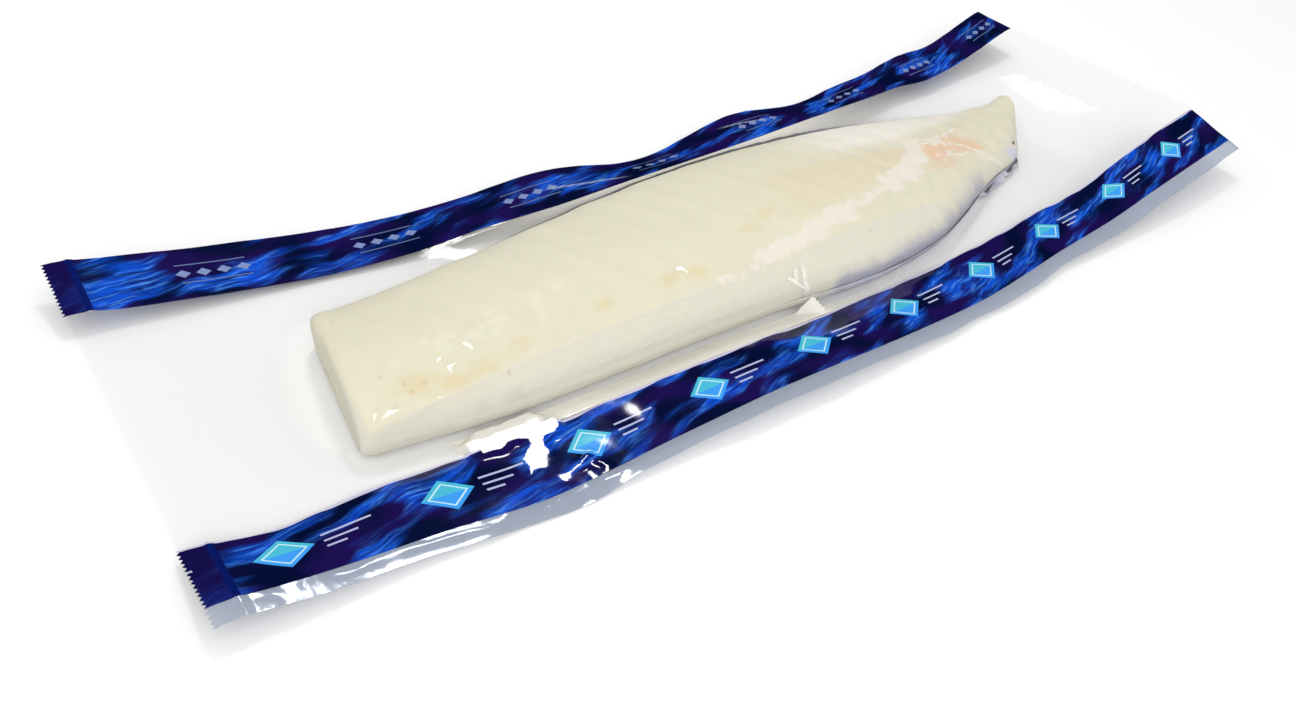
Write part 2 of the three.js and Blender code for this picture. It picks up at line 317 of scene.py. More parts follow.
def add(tree, kind, inputs=None, **settings):
    """Adds one node with its settings, and its inputs as values or as links from other sockets."""
    node = tree.nodes.new(kind)
    for name, value in settings.items():
        setattr(node, name, value)
    for socket, value in (inputs or {}).items():
        if isinstance(value, bpy.types.NodeSocket):
            tree.links.new(value, node.inputs[socket])
        else:
            node.inputs[socket].default_value = value
    return node


def new_material(name):
    """An empty material and its node tree."""
    material = bpy.data.materials.new(name)
    material.use_nodes = True
    material.node_tree.nodes.clear()
    return material, material.node_tree


# ---- Materials -------------------------------------------------------------------------------------------
def cod_flesh():
    """Raw cod, cut: moist cream flesh that lets a little light in, whiter where connective tissue shows."""
    material, tree = new_material("cod_flesh")
    place = add(tree, "ShaderNodeTexCoord").outputs["Object"]
    cloud = add(tree, "ShaderNodeTexNoise", {"Vector": place, "Scale": 28.0, "Detail": 3.0})
    fine = add(tree, "ShaderNodeTexNoise", {"Vector": place, "Scale": 260.0, "Detail": 4.0, "Roughness": 0.6})
    across = add(
        tree, "ShaderNodeMapping",
        {"Vector": place, "Rotation": (0, 0, math.radians(-25)), "Scale": (2.4 * MM, 7 * MM, 5 * MM)},
        vector_type="TEXTURE",
    )
    fibres = add(
        tree, "ShaderNodeTexNoise",
        {"Vector": across.outputs[0], "Scale": 1.0, "Detail": 3.0, "Roughness": 0.6},
    )
    cream = {0: cloud.outputs[0], 6: linear("#E1DCC3"), 7: linear("#D8D4BE")}
    colour = add(tree, "ShaderNodeMix", cream, data_type="RGBA").outputs[2]
    # Each field's colour, how strong it is, how soft its edge is and how far the fibres tear that edge.
    for field, code, strength, softness, tear in (
        ("core", "#DDD2B4", 0.8, 0.42, 0.5),
        # lit_far_slope: painted light, the far slope past the ridge lighter than the top
        ("lit_far_slope", "#EBE6DB", 1.0, 0.42, 0.6),
        # shaded_flank: painted shade, the near flank and the cut head end greyer and darker than the top
        ("shaded_flank", "#D8D4C5", 0.9, 0.42, 0.2),
        ("lilac", "#A9A8B6", 0.9, 0.42, 0.35),
        ("blotch", "#DBC99C", 0.6, 0.42, 0.6),
        ("blush", "#E5C2A3", 0.85, 0.42, 0.7),
        ("tissue", "#E6DFD3", 0.92, 0.17, 1.1),
        ("silver", "#CDCBDD", 0.9, 0.25, 0.8),
        ("speck", "#B99A68", 0.3, 0.3, 0.2),
        ("dark", "#3A3638", 0.95, 0.3, 0.2),
    ):
        mask = add(tree, "ShaderNodeAttribute", attribute_name=field)
        ragged = add(tree, "ShaderNodeMath", {0: fibres.outputs[0], 1: 0.5}, operation="SUBTRACT")
        torn = add(
            tree, "ShaderNodeMath", {0: ragged.outputs[0], 1: tear, 2: mask.outputs["Fac"]},
            operation="MULTIPLY_ADD",
        )
        edge = add(
            tree, "ShaderNodeMapRange",
            {0: torn.outputs[0], 1: 0.5 - softness, 2: 0.5 + softness, 3: 0.0, 4: strength},
            interpolation_type="SMOOTHSTEP",
        )
        mixed = add(tree, "ShaderNodeMix", {0: edge.outputs[0], 6: colour, 7: linear(code)}, data_type="RGBA")
        colour = mixed.outputs[2]
    relief = add(tree, "ShaderNodeBump", {"Strength": 0.25, "Distance": 0.4 * MM, "Height": fine.outputs[0]})
    moist = add(
        tree, "ShaderNodeBsdfPrincipled",
        {
            "Base Color": colour, "Roughness": 0.55, "IOR": 1.38, "Normal": relief.outputs[0],
            "Subsurface Weight": 0.35, "Subsurface Radius": (1.0, 0.75, 0.5), "Subsurface Scale": 4 * MM,
        },
    )
    add(tree, "ShaderNodeOutputMaterial", {0: moist.outputs[0]})
    return material


def cod_skin():
    """Cod skin seen along its edge: wet, lilac silver with dark mottling that is partly painted crevice
    shade, and pale towards the head end.
    """
    material, tree = new_material("cod_skin")
    place = add(tree, "ShaderNodeTexCoord").outputs["Object"]
    mottle = add(
        tree, "ShaderNodeTexNoise", {"Vector": place, "Scale": 90.0, "Detail": 4.0, "Roughness": 0.65}
    )
    along = add(tree, "ShaderNodeSeparateXYZ", {0: place}).outputs[0]
    to_head = add(
        tree, "ShaderNodeMapRange", {0: along, 1: 0.0, 2: -25 * MM}, interpolation_type="SMOOTHSTEP"
    ).outputs[0]
    tones = add(tree, "ShaderNodeValToRGB", {0: mottle.outputs[0]})
    ramp = tones.color_ramp
    ramp.elements[0].position, ramp.elements[0].color = 0.36, linear("#B4B6C4")
    ramp.elements[1].position, ramp.elements[1].color = 0.62, linear("#DAD9E4")
    # Towards the head end the skin takes the grey cream of the flesh's flank, which is painted shade.
    colour = printed_on(tree, tones.outputs[0], "#D9D5C8", to_head)
    # dark: the skin's own dark marks, and painted shade of the crevice where the edge leaves the flesh's
    # foot.
    dark = add(tree, "ShaderNodeAttribute", attribute_name="dark").outputs["Fac"]
    colour = printed_on(tree, colour, "#2E2D35", dark)
    wet = add(tree, "ShaderNodeBsdfPrincipled", {"Base Color": colour, "Roughness": 0.3, "IOR": 1.4})
    add(tree, "ShaderNodeOutputMaterial", {0: wet.outputs[0]})
    return material


def clear_film(name, haze, tint):
    """Polyamide and polyethylene vacuum film, blown: clear and glossy, milky where both layers cling
    together, dull where it clings to wet flesh, with fine pale lines where it is drawn taut."""
    material, tree = new_material(name)
    place = add(tree, "ShaderNodeTexCoord").outputs["Object"]
    ripple = add(tree, "ShaderNodeTexNoise", {"Vector": place, "Scale": 160.0, "Detail": 2.0})
    relief = add(
        tree, "ShaderNodeBump", {"Strength": 0.25, "Distance": 0.5 * MM, "Height": ripple.outputs[0]}
    )
    slant = add(tree, "ShaderNodeLayerWeight", {"Blend": 0.5, "Normal": relief.outputs[0]}).outputs["Facing"]
    steep = add(tree, "ShaderNodeMath", {0: slant, 1: 5.0}, operation="POWER").outputs[0]
    free = add(
        tree, "ShaderNodeMath", {0: steep, 1: 0.12, 2: FILM_GLOSS}, operation="MULTIPLY_ADD"
    ).outputs[0]
    cling = add(tree, "ShaderNodeAttribute", attribute_name="cling").outputs["Fac"]
    loose = add(tree, "ShaderNodeMath", {0: cling, 1: -0.96, 2: 1.0}, operation="MULTIPLY_ADD").outputs[0]
    mirror = add(tree, "ShaderNodeMath", {0: free, 1: loose}, operation="MULTIPLY").outputs[0]
    drawn = add(
        tree, "ShaderNodeMapping", {"Vector": place, "Scale": (70 * MM, 1.3 * MM, 1.3 * MM)},
        vector_type="TEXTURE",
    )
    lines = add(tree, "ShaderNodeTexNoise", {"Vector": drawn.outputs[0], "Scale": 1.0, "Detail": 2.0})
    streaks = add(
        tree, "ShaderNodeMapRange", {0: lines.outputs[0], 1: 0.5, 2: 0.8, 3: 0.0, 4: 0.22}
    ).outputs[0]
    taut = add(tree, "ShaderNodeAttribute", attribute_name="taut").outputs["Fac"]
    milky = add(tree, "ShaderNodeAttribute", attribute_name="milky").outputs["Fac"]
    cloudy = add(tree, "ShaderNodeMath", {0: streaks, 1: taut, 2: milky}, operation="MULTIPLY_ADD").outputs[0]
    body = add(tree, "ShaderNodeMath", {0: cloudy, 1: haze}, operation="ADD").outputs[0]
    cover = add(tree, "ShaderNodeMath", {0: mirror, 1: body}, operation="ADD", use_clamp=True).outputs[0]
    shine = add(tree, "ShaderNodeMath", {0: mirror, 1: cover}, operation="DIVIDE").outputs[0]
    gloss = add(
        tree, "ShaderNodeBsdfPrincipled",
        {
            "Base Color": linear(tint), "Roughness": 0.09, "IOR": 1.5, "Metallic": shine,
            "Normal": relief.outputs[0],
        },
    )
    through = add(tree, "ShaderNodeBsdfTransparent")
    film = add(tree, "ShaderNodeMixShader", {0: cover, 1: through.outputs[0], 2: gloss.outputs[0]})
    add(tree, "ShaderNodeOutputMaterial", {0: film.outputs[0]})
    return material


def printed_film(name, slant, motif):
    """The same film, printed in dark blue on its back: deep colour under gloss, with cobalt streaks."""
    material, tree = new_material(name)
    print_place = add(tree, "ShaderNodeAttribute", attribute_name="print_mm").outputs["Vector"]
    bent = add(tree, "ShaderNodeTexNoise", {"Vector": print_place, "Scale": 1 / 20, "Detail": 1.0})
    swung = add(tree, "ShaderNodeVectorMath", {0: bent.outputs[1], 1: (8, 8, 0)}, operation="MULTIPLY")
    swept = add(tree, "ShaderNodeVectorMath", {0: print_place, 1: swung.outputs[0]})

    def field(vector, turn, lengths, detail, lowest, highest):
        """Noise stretched to a length and a width in millimetres along a turned line: a mask from 0 to 1."""
        turned = add(
            tree, "ShaderNodeMapping", {"Vector": vector, "Rotation": (0, 0, turn), "Scale": (*lengths, 1)},
            vector_type="TEXTURE",
        )
        cells = add(
            tree, "ShaderNodeTexNoise",
            {"Vector": turned.outputs[0], "Scale": 1.0, "Detail": detail, "Roughness": 0.55},
        )
        mask = add(
            tree, "ShaderNodeMapRange", {0: cells.outputs[0], 1: lowest, 2: highest},
            interpolation_type="SMOOTHSTEP",
        )
        return mask.outputs[0]

    def times(one, other):
        return add(tree, "ShaderNodeMath", {0: one, 1: other}, operation="MULTIPLY").outputs[0]

    pools = field(print_place, 0.0, (33, 22), 1.0, 0.4, 0.6)
    glow = field(swept.outputs[0], slant, (40, 11), 1.0, 0.46, 0.64)
    wisps = field(swept.outputs[0], slant, (20, 2.2), 3.0, 0.34, 0.64)
    sparks = field(swept.outputs[0], slant, (13, 1.5), 3.0, 0.48, 0.70)
    deep = {0: pools, 6: linear("#1C0F4E"), 7: linear("#050E33")}
    colour = add(tree, "ShaderNodeMix", deep, data_type="RGBA").outputs[2]
    lit = add(tree, "ShaderNodeMath", {0: wisps, 1: 0.8, 2: 0.2}, operation="MULTIPLY_ADD").outputs[0]
    colour = printed_on(tree, colour, "#0F50D0", times(glow, lit))
    colour = printed_on(tree, colour, "#4C92F5", times(glow, sparks), 0.75)
    along = add(tree, "ShaderNodeSeparateXYZ", {0: print_place}).outputs[0]
    colour = printed_on(tree, colour, "#170F4A", below(tree, along, SEAL_AT), 0.8)
    colour = printed_on(tree, colour, "#08185E", within(tree, along, SEAL_AT, 1.2))
    colour = motif(tree, print_place, pools, colour)
    # Pale along the creases: whitened film with a painted highlight.
    wear_and_sheen = add(tree, "ShaderNodeAttribute", attribute_name="crease").outputs["Fac"]
    colour = printed_on(tree, colour, "#AEBBD6", wear_and_sheen)
    place = add(tree, "ShaderNodeTexCoord").outputs["Object"]
    ripple = add(tree, "ShaderNodeTexNoise", {"Vector": place, "Scale": 70.0, "Detail": 2.0})
    relief = add(tree, "ShaderNodeBump", {"Strength": 0.2, "Distance": 0.5 * MM, "Height": ripple.outputs[0]})
    film = add(
        tree, "ShaderNodeBsdfPrincipled",
        {"Base Color": colour, "Roughness": 0.08, "IOR": 1.5, "Normal": relief.outputs[0]},
    )
    add(tree, "ShaderNodeOutputMaterial", {0: film.outputs[0]})
    return material


def repeated(tree, print_place, pitch, start):
    """Distance along the band from the middle of the nearest repeat, and distance across it, in mm."""
    split = add(tree, "ShaderNodeSeparateXYZ", {0: print_place})
    shifted = add(tree, "ShaderNodeMath", {0: split.outputs[0], 1: pitch / 2 - start}, operation="ADD")
    cell = add(tree, "ShaderNodeMath", {0: shifted.outputs[0], 1: pitch}, operation="FLOORED_MODULO")
    centred = add(tree, "ShaderNodeMath", {0: cell.outputs[0], 1: pitch / 2}, operation="SUBTRACT")
    return centred.outputs[0], split.outputs[1]


def printed_on(tree, colour, ink, *masks):
    """Ink laid over a colour where every mask is 1."""
    mask = masks[0]
    for other in masks[1:]:
        mask = add(tree, "ShaderNodeMath", {0: mask, 1: other}, operation="MULTIPLY").outputs[0]
    return add(tree, "ShaderNodeMix", {0: mask, 6: colour, 7: linear(ink)}, data_type="RGBA").outputs[2]


def within(tree, value, middle, reach):
    """1 where a value is no farther from the middle than the reach."""
    return add(tree, "ShaderNodeMath", {0: value, 1: middle, 2: reach}, operation="COMPARE").outputs[0]


def diamond(tree, along, across, middle, half_length, half_width):
    """How far out a place lies in a diamond: 0 at its middle and 1 at its edge. The sizes are in mm."""
    out = 0.0
    for value, centre, reach in ((along, middle[0], half_length), (across, middle[1], half_width)):
        offset = add(tree, "ShaderNodeMath", {0: value, 1: centre}, operation="SUBTRACT").outputs[0]
        apart = add(tree, "ShaderNodeMath", {0: offset}, operation="ABSOLUTE").outputs[0]
        out = add(
            tree, "ShaderNodeMath", {0: apart, 1: 1 / reach, 2: out}, operation="MULTIPLY_ADD"
        ).outputs[0]
    return out


def below(tree, value, limit):
    """1 where a value is less than the limit."""
    return add(tree, "ShaderNodeMath", {0: value, 1: limit}, operation="LESS_THAN").outputs[0]


def cyan_diamonds(tree, print_place, pools, colour):
    """Diamonds, cyan over azure with a pale line round them, and three pale rules after each. The clear film
    shows in an uneven pale rim past the inner edge of the print."""
    along, across = repeated(tree, print_place, pitch=58.0, start=-262.0)
    inset = add(tree, "ShaderNodeMath", {0: pools, 1: -0.9, 2: across}, operation="MULTIPLY_ADD").outputs[0]
    colour = printed_on(tree, colour, "#C9C6DC", below(tree, inset, 0.5))
    out = diamond(tree, along, across, middle=(-9, PRINT_MIDDLE), half_length=10.0, half_width=8.0)
    colour = printed_on(tree, colour, "#3F9CF0", below(tree, out, 1.0))
    colour = printed_on(tree, colour, "#4BBAD6", below(tree, out, 1.0), below(tree, across, PRINT_MIDDLE))
    colour = printed_on(tree, colour, "#BFE6F0", within(tree, out, 0.72, 0.05))
    for row, start, stop in ((12.0, 4.0, 22.0), (15.4, 4.0, 16.0), (18.4, 4.0, 11.0)):
        rule = within(tree, along, (start + stop) / 2, (stop - start) / 2)
        colour = printed_on(tree, colour, "#B4BADC", rule, within(tree, across, row, 0.45))
    return colour


def silver_diamonds(tree, print_place, _pools, colour):
    """Faint silver diamonds between two thin rules."""
    along, across = repeated(tree, print_place, pitch=74.0, start=-240.0)
    for place in (-12.0, -4.0, 4.0, 12.0):
        out = diamond(tree, along, across, middle=(place, PRINT_MIDDLE), half_length=3.0, half_width=2.4)
        colour = printed_on(tree, colour, "#7C8DBB", below(tree, out, 1.0))
    rule = within(tree, along, 0.0, 14.0)
    for row in (9.6, 20.4):
        colour = printed_on(tree, colour, "#65779F", rule, within(tree, across, row, 0.3))
    return colour


def painted_table():
    """A smooth table top, painted matt white."""
    material, tree = new_material("table_paint")
    place = add(tree, "ShaderNodeTexCoord").outputs["Object"]
    grain = add(tree, "ShaderNodeTexNoise", {"Vector": place, "Scale": 400.0, "Detail": 2.0})
    relief = add(tree, "ShaderNodeBump", {"Strength": 0.05, "Distance": 0.1 * MM, "Height": grain.outputs[0]})
    paint = add(
        tree, "ShaderNodeBsdfPrincipled",
        {"Base Color": linear("#FAFAFA"), "Roughness": 0.8, "Normal": relief.outputs[0]},
    )
    add(tree, "ShaderNodeOutputMaterial", {0: paint.outputs[0]})
    return material


# ---- Table, camera and light -----------------------------------------------------------------------------
SQUARE = ((-1, -1), (1, -1), (1, 1), (-1, 1))
TABLE_REACH = 4.0  # metres from the pack to each side
TABLE_DROP = 0.2 * MM  # how far the table lies under the pack, so that they don't share a plane


def table():
    """The table top under the pack."""
    corners = [(side_x * TABLE_REACH, side_y * TABLE_REACH, -TABLE_DROP) for side_x, side_y in SQUARE]
    mesh = bpy.data.meshes.new("table")
    mesh.from_pydata(corners, [], [(0, 1, 2, 3)])
    mesh.materials.append(painted_table())
    top = bpy.data.objects.new("table", mesh)
    bpy.context.scene.collection.objects.link(top)
    top.visible_glossy = False


CAMERA_AT = Vector((-323.5, -293.1, 290.8)) * MM
CAMERA_AIM = Vector((-112.9, -62.0, 10.0)) * MM
CAMERA_ROLL = math.radians(9.0)
CAMERA_LENS = 28.58  # millimetres, on a sensor 36 wide
CAMERA_REACH = (0.01, 20)  # metres
LAMP_AT, LAMP_SIZE, LAMP_POWER = (0.18, 0.47, 0.99), 0.16, 2.2  # metres, metres, watts
FRONT_AT, FRONT_SIZE, FRONT_POWER = (-0.7, -1.0, 0.5), 1.2, 7.4
TENT_LIGHT = 0.86


def camera():
    """The camera, where the photo was taken from."""
    lens = bpy.data.cameras.new("camera")
    lens.lens = CAMERA_LENS
    lens.clip_start, lens.clip_end = CAMERA_REACH
    eye = bpy.data.objects.new("camera", lens)
    bpy.context.scene.collection.objects.link(eye)
    eye.location = CAMERA_AT
    eye.rotation_euler = (CAMERA_AIM - CAMERA_AT).to_track_quat("-Z", "Y").to_euler()
    eye.rotation_euler.rotate_axis("Z", CAMERA_ROLL)
    bpy.context.scene.camera = eye


def softbox(name, place, size, power, glossy=True):
    """A square area light at a place in metres, turned towards the pack."""
    light = bpy.data.lights.new(name, "AREA")
    light.shape, light.size, light.energy = "SQUARE", size, power
    lamp = bpy.data.objects.new(name, light)
    bpy.context.scene.collection.objects.link(lamp)
    lamp.location = place
    lamp.rotation_euler = (-Vector(place)).to_track_quat("-Z", "Y").to_euler()
    lamp.visible_glossy = glossy


def lights():
    """A light tent: even white light from all round and more from the front, with one small lamp behind the
    pack that shows in its gloss."""
    softbox("lamp", LAMP_AT, LAMP_SIZE, LAMP_POWER)
    softbox("front", FRONT_AT, FRONT_SIZE, FRONT_POWER, glossy=False)
    world = bpy.data.worlds.new("tent")
    world.use_nodes = True
    world.node_tree.nodes["Background"].inputs[0].default_value = linear("#FFFFFF")
    world.node_tree.nodes["Background"].inputs[1].default_value = TENT_LIGHT
    world.cycles_visibility.glossy = False
    bpy.context.scene.world = world
    bpy.context.scene.view_settings.view_transform = "Standard"


# ---- Flesh and skin --------------------------------------------------------------------------------------
def welded(node):
    """A copy of a CAD node's mesh with its corners joined."""
    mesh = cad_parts[node].data.copy()
    work = bmesh.new()
    work.from_mesh(mesh)
    bmesh.ops.remove_doubles(work, verts=work.verts, dist=0.01 * MM)
    work.to_mesh(mesh)
    work.free()
    return mesh


def modified(mesh, name, kind, **settings):
    """The mesh that a modifier makes of a mesh."""
    holder = bpy.data.objects.new("work", mesh)
    bpy.context.scene.collection.objects.link(holder)
    modifier = holder.modifiers.new(kind.lower(), kind)
    for key, value in settings.items():
        setattr(modifier, key, value)
    ready = holder.evaluated_get(bpy.context.evaluated_depsgraph_get())
    made = bpy.data.meshes.new_from_object(ready)
    made.name = name
    bpy.data.objects.remove(holder)
    return made


def points_of(mesh):
    """A mesh's points in millimetres, one row each."""
    places = np.empty(len(mesh.vertices) * 3, np.float32)
    mesh.vertices.foreach_get("co", places)
    return places.reshape(-1, 3).astype(float) / MM


def evened(mesh, rounds):
    """A mesh's points, each moved towards the mean of its neighbours and nearly back by turns, so that facets
    go and the size stays."""
    ends = np.empty(len(mesh.edges) * 2, np.int32)
    mesh.edges.foreach_get("vertices", ends)
    one, other = ends[::2], ends[1::2]
    places = points_of(mesh)
    count = np.bincount(ends, minlength=len(places))[:, None]
    for way in (0.6, -0.58) * rounds:
        mean = np.zeros_like(places)
        np.add.at(mean, one, places[other])
        np.add.at(mean, other, places[one])
        places += way * (mean / count - places)
    return places


def move_points(mesh, places):
    """Puts a mesh's points at places in millimetres."""
    mesh.vertices.foreach_set("co", (places * MM).ravel())
    mesh.update()


def flesh_relief(x, y, z, facing, upward, from_seam):
    """How far the loin's surface stands out from its plain form, in millimetres."""
    wobble = 5 * (noise(x / 22, y / 16, 3) - 0.5)
    phase = (x + 0.55 * np.abs(from_seam) + wobble) / FLAKE_PITCH
    gap = np.abs(phase - np.round(phase)) * FLAKE_PITCH
    tail = smooth((x + 120) / 160)
    flakes = -0.2 * bump(gap / 1.3) * (0.25 + 0.75 * tail) * noise(x / 14, y / 12, 4)
    lumps = 0.5 * (noise(x / 16, y / 11, 5) - 0.5) + 0.22 * (noise(x / 5, y / 4 + z / 5, 6) - 0.5)
    head_half = smooth((-20 - x) / 30)
    lumps = lumps + 0.6 * bump((y - SHOULDER) / 1.6) * head_half * upward
    lumps = lumps + head_half * smooth((12 - z) / 4) * smooth(-2 * facing[:, 1])
    return upward * flakes + lumps


def flesh():
    """The loin, with its flakes, its seam, and the tissue and blush that show along it."""
    mesh = modified(welded("cod_loin"), "flesh", "REMESH", mode="VOXEL", voxel_size=FLESH_VOXEL * MM)
    places = evened(mesh, 8)
    move_points(mesh, places)
    facing = np.empty(len(places) * 3, np.float32)
    mesh.vertices.foreach_get("normal", facing)
    facing = facing.reshape(-1, 3)
    places += bump(np.linalg.norm(places - HEAD_CORNER, axis=1) / 8)[:, None] * CORNER_PULL
    x, y, z = places.T
    upward = smooth((facing[:, 2] - 0.1) / 0.6)
    from_seam = y - along_line(SEAM, x)
    places += facing * flesh_relief(x, y, z, facing, upward, from_seam)[:, None]
    move_points(mesh, places)
    for field, values in flesh_fields(x, y, z, upward, from_seam).items():
        add_field(mesh, field, values)
    return show("flesh", mesh, cod_flesh(), "cod_flesh", "cod_loin")


def flesh_fields(x, y, z, upward, from_seam):
    """Where the flesh looks other than plain cream, from 0 to 1. The near flank and cut head end carry
    painted shade, the far slope painted light.
    """
    feather = noise((x + 0.5 * y) / 6, y / 9, 8)
    torn_x, torn_y = x + 7 * (noise(x / 6, y / 5, 51) - 0.5), y + 5 * (noise(x / 5, y / 4, 52) - 0.5)
    tissue = np.zeros_like(x)
    for line, width, weight in TISSUE:
        tissue = np.maximum(tissue, stroke(torn_x, torn_y, line, width, weight * (0.6 + 0.6 * feather)))
    blush = stroke(torn_x, torn_y, [(108, -16), (126, -13), (146, -14)], 8.0, 0.95)
    blush = blush + stroke(x, y, [(92, -26), (112, -28)], 6.0, 0.4)
    blush = blush + stroke(x, y, [(70, -14), (84, -10)], 5.0, 0.3)
    blotch = sum(bump(np.hypot((x - at_x) / 1.5, y - at_y) / 4.4) for at_x, at_y in BLOTCHES)
    ridge = along_line(RIDGE, x)
    core = smooth((ridge - y) / 3) * smooth((from_seam - 2) / 8)
    core = core * smooth((x + 40) / 60) * smooth((190 - x) / 50)
    # Painted shade on the near flank, and below on the cut head end.
    shaded_flank = smooth((SHOULDER + 1 - y) / 3) * smooth((120 - x) / 60)
    shaded_flank = np.maximum(shaded_flank, smooth((-from_seam - 14) / 8) * smooth((x - 60) / 60))
    lilac = smooth((21 - z + 3 * feather) / 14) * smooth((x + 14) / 12) * smooth((-40 - y + x / 9) / 6)
    lilac = lilac * smooth((136 - x) / 16)
    return {
        "tissue": tissue * upward,
        "blush": blush * upward,
        "blotch": 0.72 * blotch * upward * (0.5 + noise(x / 4, y / 4, 9)),
        "core": 0.85 * core,
        # Painted light on the far slope past the ridge.
        "lit_far_slope": 0.85 * smooth((y - ridge + 3) / 16) * smooth((x - 10) / 70) * smooth((210 - x) / 30),
        "shaded_flank": np.maximum(shaded_flank, smooth((-226 - x) / 4)),
        "lilac": lilac,
        "silver": bump(np.hypot((x - 173) / 2.2, y + 25) / 3.4),
        "speck": sum(bump(np.hypot(x - at_x, y - at_y) / 1.1) for at_x, at_y in SPECKS) * upward,
        "dark": sum(bump(np.hypot(x - at_x, y - at_y) / reach) for at_x, at_y, reach in DARK_SPOTS),
    }


def skin():
    """The thin skin under the loin, whose edge shows along the near side."""
    mesh = modified(welded("fish_skin"), "skin", "SUBSURF", levels=2)
    return show("skin", mesh, cod_skin(), "cod_skin", "fish_skin")


def skin_edge():
    """The skin's ragged edge by the tail, which sticks out from under the flesh: silver, and dark in patches
    just outside the flesh's foot, the skin's own dark marks with painted shade of the crevice there."""
    x = np.linspace(SKIN_EDGE[0][0], SKIN_EDGE[-1][0], 115)[:, None]
    share = np.linspace(0, 1, 8)[None, :]
    ends = smooth((x - SKIN_EDGE[0][0]) / 8) * smooth((SKIN_EDGE[-1][0] - x) / 4)
    reach = ends * (0.9 + 1.5 * noise(x / 6, 0 * x, 71) + 0.8 * noise(x / 1.7, 0 * x, 72))
    y = along_line(SKIN_EDGE, x) + 1.5 - share * (1.5 + reach)
    z = 3.4 - 1.5 * share + 0.5 * noise(x / 4, y / 4, 73)
    points = np.stack([np.broadcast_to(x, y.shape), y, z], axis=-1)
    dark_skin_and_crevice_shade = bump((share - 0.5) / 0.3) * smooth((noise(x / 7, y / 9, 74) - 0.3) / 0.2)
    mesh = sheet("skin_edge", points, SKIN_THICKNESS, {"dark": 0.9 * dark_skin_and_crevice_shade})
    return show("skin_edge", mesh, cod_skin(), "cod_skin", "fish_skin")


# ---- Film ------------------------------------------------------------------------------------------------
film_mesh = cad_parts["film_pouch"].data
film_tree = tree_of(film_mesh)


class Strip:
    """A strip of the pouch, straight across, that starts at a line and rises or falls to one side."""

    def __init__(self, x, y, side, near_sample, far_sample):
        z_near = height_over(film_tree, x, y + side * near_sample, None)
        z_far = height_over(film_tree, x, y + side * far_sample, None)
        slope = softened((z_far - z_near) / (far_sample - near_sample), 4)
        self.x, self.y, self.side = x, y, side
        self.z = softened(z_near, 4) - slope * near_sample
        self.run, self.rise = 1 / np.sqrt(1 + slope**2), slope / np.sqrt(1 + slope**2)

    def points(self, reach):
        """Points at distances across the strip, one column each."""
        y = self.y[:, None] + self.side * reach * self.run[:, None]
        z = self.z[:, None] + reach * self.rise[:, None]
        return np.stack([np.broadcast_to(self.x[:, None], y.shape), y, z], axis=-1)


def seal_ridge(x):
    """How far the film stands up at each x for the head end's heat seal."""
    return SEAL_RIDGE * bump((x - SEAL_AT) / SEAL_RIDGE_WIDTH)


def width_of(strip, edge, stray):
    """How wide a band is at each row, from its inner edge to its straying outer edge."""
    outer = edge_y(edge, stray, strip.x) + strip.side * BAND_WIDTH
    return np.abs(outer - strip.y)[:, None]


def band(name, strip, width, creases, slant, motif, seed):
    """One printed band of the film, with long soft waves, creases, flat places and the heat seal's ridge."""
    share = np.linspace(0, 1, 29)[None, :]
    if strip.side > 0:
        share = share[:, ::-1]
    points = strip.points(share * width)
    x, y = points[..., 0], points[..., 1]
    across = np.broadcast_to(share * BAND_WIDTH, x.shape)
    lift = 0.5 * (noise(x / 30, across / 18, seed) - 0.5) + 0.3 * (noise(x / 9, across / 10, seed + 1) - 0.5)
    wear_and_sheen = np.zeros_like(x)
    for start, stop, height in creases:
        distance, part = off_segment(x, y, start, stop)
        lift = lift + height * bump(distance / 1.6) * np.sin(np.pi * part) ** 0.5
        # Pale along each crease: the film whitened where creased, with a painted highlight.
        wear_and_sheen = np.maximum(wear_and_sheen, bump(distance / 0.5) * smooth(4 * part) * smooth(4 - 4 * part))
    fields = {"print_mm": np.stack([x, across, np.zeros_like(x)], axis=-1), "crease": 0.8 * wear_and_sheen}
    points = points + normals(points) * (lift + seal_ridge(x))[..., None]
    points[..., 2], _ = with_flats(x, y, points[..., 2])
    mesh = sheet(name, cut_to_length(points), BAND_THICKNESS, fields)
    film = printed_film(name + "_print", slant, motif)
    return show(name, mesh, film, "printed_film", "film_pouch")


def suction(x, share):
    """How hard the air presses the film down, from the far band to the near one."""
    near = smooth((share - 0.55) / 0.2)
    return np.broadcast_to(0.03 + 0.30 * near, x.shape)


def foot_of(loin, x):
    """The y of the loin's near side at each x, seen from above: a smooth line that no bulge passes."""
    places = points_of(loin.data)
    row = np.clip(np.searchsorted(x, places[:, 0]), 0, len(x) - 1)
    foot = np.full(len(x), np.inf)
    np.minimum.at(foot, row, places[:, 1])
    known = np.isfinite(foot)
    foot = np.interp(x, x[known], foot[known])
    nearest = np.min([np.roll(foot, step) for step in range(-6, 7)], axis=0)
    return softened(nearest, 3)


def drawn_down(under, left, right, load):
    """The upper film's height: it hangs between the bands, pressed down on what lies under it."""
    height = np.maximum(under, 0)
    height[:, 0], height[:, -1] = left, right
    for _ in range(DRAPE_ROUNDS):
        mean = (height[:-2, 1:-1] + height[2:, 1:-1] + height[1:-1, :-2] + height[1:-1, 2:]) / 4
        height[1:-1, 1:-1] = np.maximum(under[1:-1, 1:-1], mean - load[1:-1, 1:-1])
    return height


def pleat(x, y):
    """The height of the pleat that the film makes from the near flank down to the band."""
    distance, share = off_segment(x, y, *PLEAT)
    return PLEAT_TOP - PLEAT_FALL * share - PLEAT_SIDES * distance


